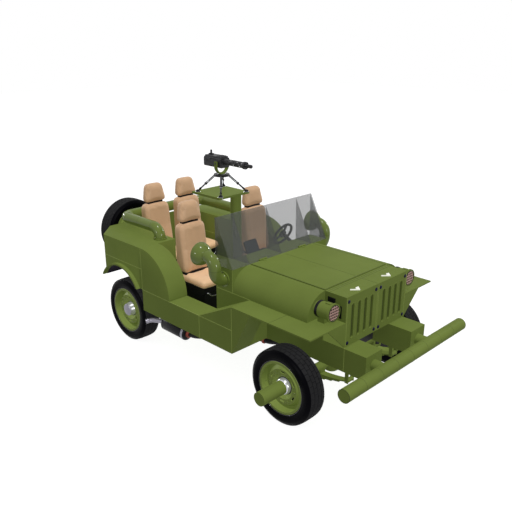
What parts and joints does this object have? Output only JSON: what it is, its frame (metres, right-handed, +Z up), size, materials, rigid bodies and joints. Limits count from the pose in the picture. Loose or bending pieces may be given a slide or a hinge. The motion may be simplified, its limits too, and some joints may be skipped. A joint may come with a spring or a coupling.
{
  "type": "army 4x4 car",
  "caption": "Open four-seat army 4x4 with flat front fenders, slotted grille, raked glass screen, post-mounted gun and a spare wheel at the rear.",
  "frame": {"origin": "on the ground under the middle of the vehicle's overall length and width", "axes": "+X forward, +Y to the vehicle's left, +Z up"},
  "size_m": [3.3519, 1.97, 1.8259],
  "materials": {
    "olive_paint": "matt olive green paint",
    "seat_leather": "soft tan leather",
    "tyre_rubber": "black rubber",
    "screen_glass": "clear grey glass",
    "gun_metal": "dark grey oxide",
    "black_plastic": "satin black",
    "dark_iron": "black enamel",
    "mirror_glass": "silvered",
    "bright_metal": "polished"
  },
  "bodies": {
    "chassis": {"chassis_frame": "olive_paint", "cowl": "olive_paint", "dash_fittings": "black_plastic", "drivetrain": "dark_iron", "exhaust": "dark_iron", "front_axle": "olive_paint", "front_bumper": "olive_paint", "front_fenders": "olive_paint", "grille_panel": "olive_paint", "gun_platform": "olive_paint", "gun_stand": "gun_metal", "hand_rail": "olive_paint", "headlamps": "olive_paint", "leaf_springs": "olive_paint", "mirrors": "olive_paint", "nose_panel": "olive_paint", "power_unit": "dark_iron", "rear_axle": "olive_paint", "rear_panel": "olive_paint", "rear_quarters": "olive_paint", "seat_backs": "seat_leather", "seat_bases": "black_plastic", "seat_cushions": "seat_leather", "sills": "olive_paint", "spare_rim": "olive_paint", "spare_tyre": "tyre_rubber", "tub_floor": "olive_paint", "windscreen": "screen_glass"},
    "hood": {"hood_lid": "olive_paint"},
    "steering": {"steering_wheel": "black_plastic"},
    "gun_mount": {"gun_cradle": "olive_paint"},
    "gun": {"gun": "gun_metal"},
    "knuckle_left": {"knuckle_left": "olive_paint"},
    "knuckle_right": {"knuckle_right": "olive_paint"},
    "tie_rod": {"tie_rod": "dark_iron"},
    "wheel_front_left": {"rim_front_left": "olive_paint", "hub_front_left": "olive_paint", "tyre_front_left": "tyre_rubber"},
    "wheel_front_right": {"rim_front_right": "olive_paint", "hub_front_right": "olive_paint", "tyre_front_right": "tyre_rubber"},
    "wheel_rear_left": {"rim_rear_left": "olive_paint", "tyre_rear_left": "tyre_rubber"},
    "wheel_rear_right": {"rim_rear_right": "olive_paint", "tyre_rear_right": "tyre_rubber"}
  },
  "joints": [
    {"name": "hood_hinge", "type": "hinge", "parent": "chassis", "child": "hood", "pos_m": [0.32, 0, 1.043], "axis": [0, -1, 0], "range_deg": [0, 75]},
    {"name": "steer_left", "type": "hinge", "parent": "chassis", "child": "knuckle_left", "pos_m": [1.006, 0.5, 0.308], "axis": [0, 0, 1], "range_deg": [-28, 28]},
    {"name": "steer_right", "type": "hinge", "parent": "chassis", "child": "knuckle_right", "pos_m": [1.006, -0.5, 0.308], "axis": [0, 0, 1], "range_deg": [-28, 28]},
    {"name": "tie_rod_pivot", "type": "hinge", "parent": "knuckle_left", "child": "tie_rod", "pos_m": [0.886, 0.5, 0.2247], "axis": [0, 0, 1], "range_deg": [-28, 28]},
    {"name": "steering_spin", "type": "hinge", "parent": "chassis", "child": "steering", "pos_m": [-0.053, 0.4, 1.04], "axis": [-0.9063, 0, 0.4226], "range_deg": [-336, 336]},
    {"name": "gun_pan", "type": "hinge", "parent": "chassis", "child": "gun_mount", "pos_m": [-0.463, 0, 1.6], "axis": [0, 0, 1], "continuous": true},
    {"name": "gun_tilt", "type": "hinge", "parent": "gun_mount", "child": "gun", "pos_m": [-0.463, 0, 1.722], "axis": [0, -1, 0], "range_deg": [-20, 30]},
    {"name": "spin_front_left", "type": "hinge", "parent": "knuckle_left", "child": "wheel_front_left", "pos_m": [1.006, 0.6795, 0.308], "axis": [0, 1, 0], "continuous": true},
    {"name": "spin_front_right", "type": "hinge", "parent": "knuckle_right", "child": "wheel_front_right", "pos_m": [1.006, -0.6795, 0.308], "axis": [0, 1, 0], "continuous": true},
    {"name": "spin_rear_left", "type": "hinge", "parent": "chassis", "child": "wheel_rear_left", "pos_m": [-1.024, 0.6795, 0.308], "axis": [0, 1, 0], "continuous": true},
    {"name": "spin_rear_right", "type": "hinge", "parent": "chassis", "child": "wheel_rear_right", "pos_m": [-1.024, -0.6795, 0.308], "axis": [0, 1, 0], "continuous": true}
  ],
  "couplings": [
    {"joint": "steer_right", "follows": "steer_left", "ratio": 1},
    {"joint": "steering_spin", "follows": "steer_left", "ratio": 12},
    {"joint": "tie_rod_pivot", "follows": "steer_left", "ratio": -1}
  ]
}
